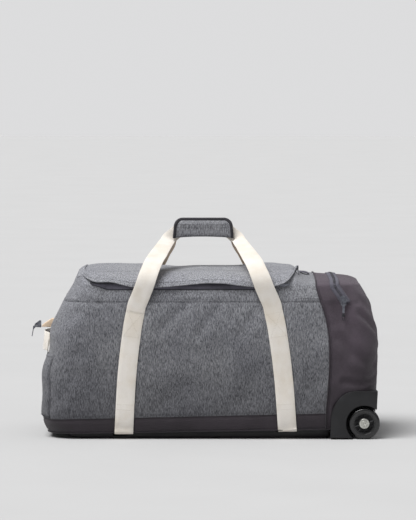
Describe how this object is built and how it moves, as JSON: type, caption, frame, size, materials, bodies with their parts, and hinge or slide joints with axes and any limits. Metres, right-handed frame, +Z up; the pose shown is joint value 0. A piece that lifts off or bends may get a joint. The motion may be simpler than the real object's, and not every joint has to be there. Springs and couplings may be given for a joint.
{
  "type": "rolling duffel bag",
  "caption": "Wheeled duffel bag: zipped main compartment with a storm flap, wheel-end pocket, webbing carry handles in a padded wrap, skid rails and corner wheels.",
  "frame": {"origin": "on the ground under the middle of the bag's box", "axes": "+X towards the wheel end, -Y the front face, +Z up"},
  "size_m": [0.8334, 0.3856, 0.522],
  "materials": {
    "heather": "melange grey woven polyester, matt",
    "nylon": "plum charcoal ripstop nylon, slight sheen",
    "webbing": "cream cotton-look webbing",
    "lining": "dark woven lining",
    "zip_tape": "lavender grey reverse-coil zip tape",
    "binding": "charcoal woven binding",
    "plastic": "black moulded polypropylene, fine grain",
    "tyre": "black polyurethane, glossy",
    "steel": "satin nickel plated",
    "gunmetal": "gunmetal plated zinc",
    "board": "black extruded board"
  },
  "bodies": {
    "bag": {"front_base_strip": "nylon", "back_base_strip": "nylon", "front_side_panel": "heather", "back_side_panel": "heather", "front_yoke": "heather", "back_yoke": "heather", "left_end_panel": "heather", "left_end_patch": "heather", "floor_panel": "nylon", "base_board": "board", "front_pocket_wall": "nylon", "back_pocket_wall": "nylon", "pocket_end": "nylon", "pocket_top_inner": "nylon", "pocket_top_outer": "nylon", "pocket_zip_top": "zip_tape", "front_pocket_zip": "zip_tape", "back_pocket_zip": "zip_tape", "pocket_divider": "lining", "pocket_floor": "nylon", "wheel_end_board": "board", "top_deck": "heather", "main_zip_tape": "zip_tape", "zip_garage": "binding", "left_strap": "webbing", "right_strap": "webbing", "front_grab_anchor": "webbing", "back_grab_anchor": "webbing", "zip_end_tab": "webbing", "end_slider": "gunmetal", "front_skid_rail": "plastic", "back_skid_rail": "plastic", "front_wheel_housing": "plastic", "back_wheel_housing": "plastic", "front_axle": "steel", "back_axle": "steel"},
    "lid": {"lid_panel": "heather", "lid_flap": "heather", "lid_lining": "lining", "lid_end_flap": "heather"},
    "front_handle": {"front_handle_webbing": "webbing", "front_wrap_half": "heather"},
    "back_handle": {"back_handle_webbing": "webbing", "back_wrap_half": "heather"},
    "grab": {"grab_handle": "webbing"},
    "main_zip_car": {"main_slider": "gunmetal"},
    "end_zip_pull": {"end_pull": "gunmetal"},
    "pocket_zip_car": {"pocket_slider": "gunmetal"},
    "pocket_zip_pull": {"pocket_pull": "gunmetal"},
    "front_wheel": {"front_tyre": "tyre", "front_wheel_core": "plastic", "front_bearing": "steel", "front_hub_cap": "steel"},
    "back_wheel": {"back_tyre": "tyre", "back_wheel_core": "plastic", "back_bearing": "steel", "back_hub_cap": "steel"}
  },
  "joints": [
    {"name": "lid_open", "type": "hinge", "parent": "bag", "child": "lid", "pos_m": [0.01785, 0.166, 0.386], "axis": [-1, 0, 0], "range_deg": [0, 78]},
    {"name": "front_handle_drop", "type": "hinge", "parent": "bag", "child": "front_handle", "pos_m": [0.00085, -0.1858, 0.304], "axis": [1, 0, 0], "range_deg": [0, 172]},
    {"name": "back_handle_drop", "type": "hinge", "parent": "bag", "child": "back_handle", "pos_m": [0.00085, 0.1858, 0.304], "axis": [-1, 0, 0], "range_deg": [0, 172]},
    {"name": "grab_handle_lift", "type": "hinge", "parent": "bag", "child": "grab", "pos_m": [-0.36685, 0, 0.246], "axis": [0, 1, 0], "range_deg": [0, 18]},
    {"name": "main_zip_slide", "type": "slide", "parent": "bag", "child": "main_zip_car", "axis": [-1, 0, 0], "range_m": [0, 0.42]},
    {"name": "end_pull_swing", "type": "hinge", "parent": "bag", "child": "end_zip_pull", "pos_m": [-0.40595, 0, 0.2565], "axis": [0, 1, 0], "range_deg": [0, 100]},
    {"name": "pocket_zip_slide", "type": "slide", "parent": "bag", "child": "pocket_zip_car", "axis": [-0.5608, 0, 0.8279], "range_m": [0, 0.03]},
    {"name": "pocket_pull_swing", "type": "hinge", "parent": "pocket_zip_car", "child": "pocket_zip_pull", "pos_m": [0.32885, -0.1877, 0.3338], "axis": [-1, 0, 0], "range_deg": [0, 80]},
    {"name": "front_wheel_spin", "type": "hinge", "parent": "bag", "child": "front_wheel", "pos_m": [0.37925, -0.165, 0.0374], "axis": [0, 1, 0], "continuous": true},
    {"name": "back_wheel_spin", "type": "hinge", "parent": "bag", "child": "back_wheel", "pos_m": [0.37925, 0.165, 0.0374], "axis": [0, 1, 0], "continuous": true}
  ],
  "couplings": [
    {"joint": "front_handle_drop", "follows": "lid_open", "ratio": 2.2},
    {"joint": "back_handle_drop", "follows": "lid_open", "ratio": 2.2}
  ]
}
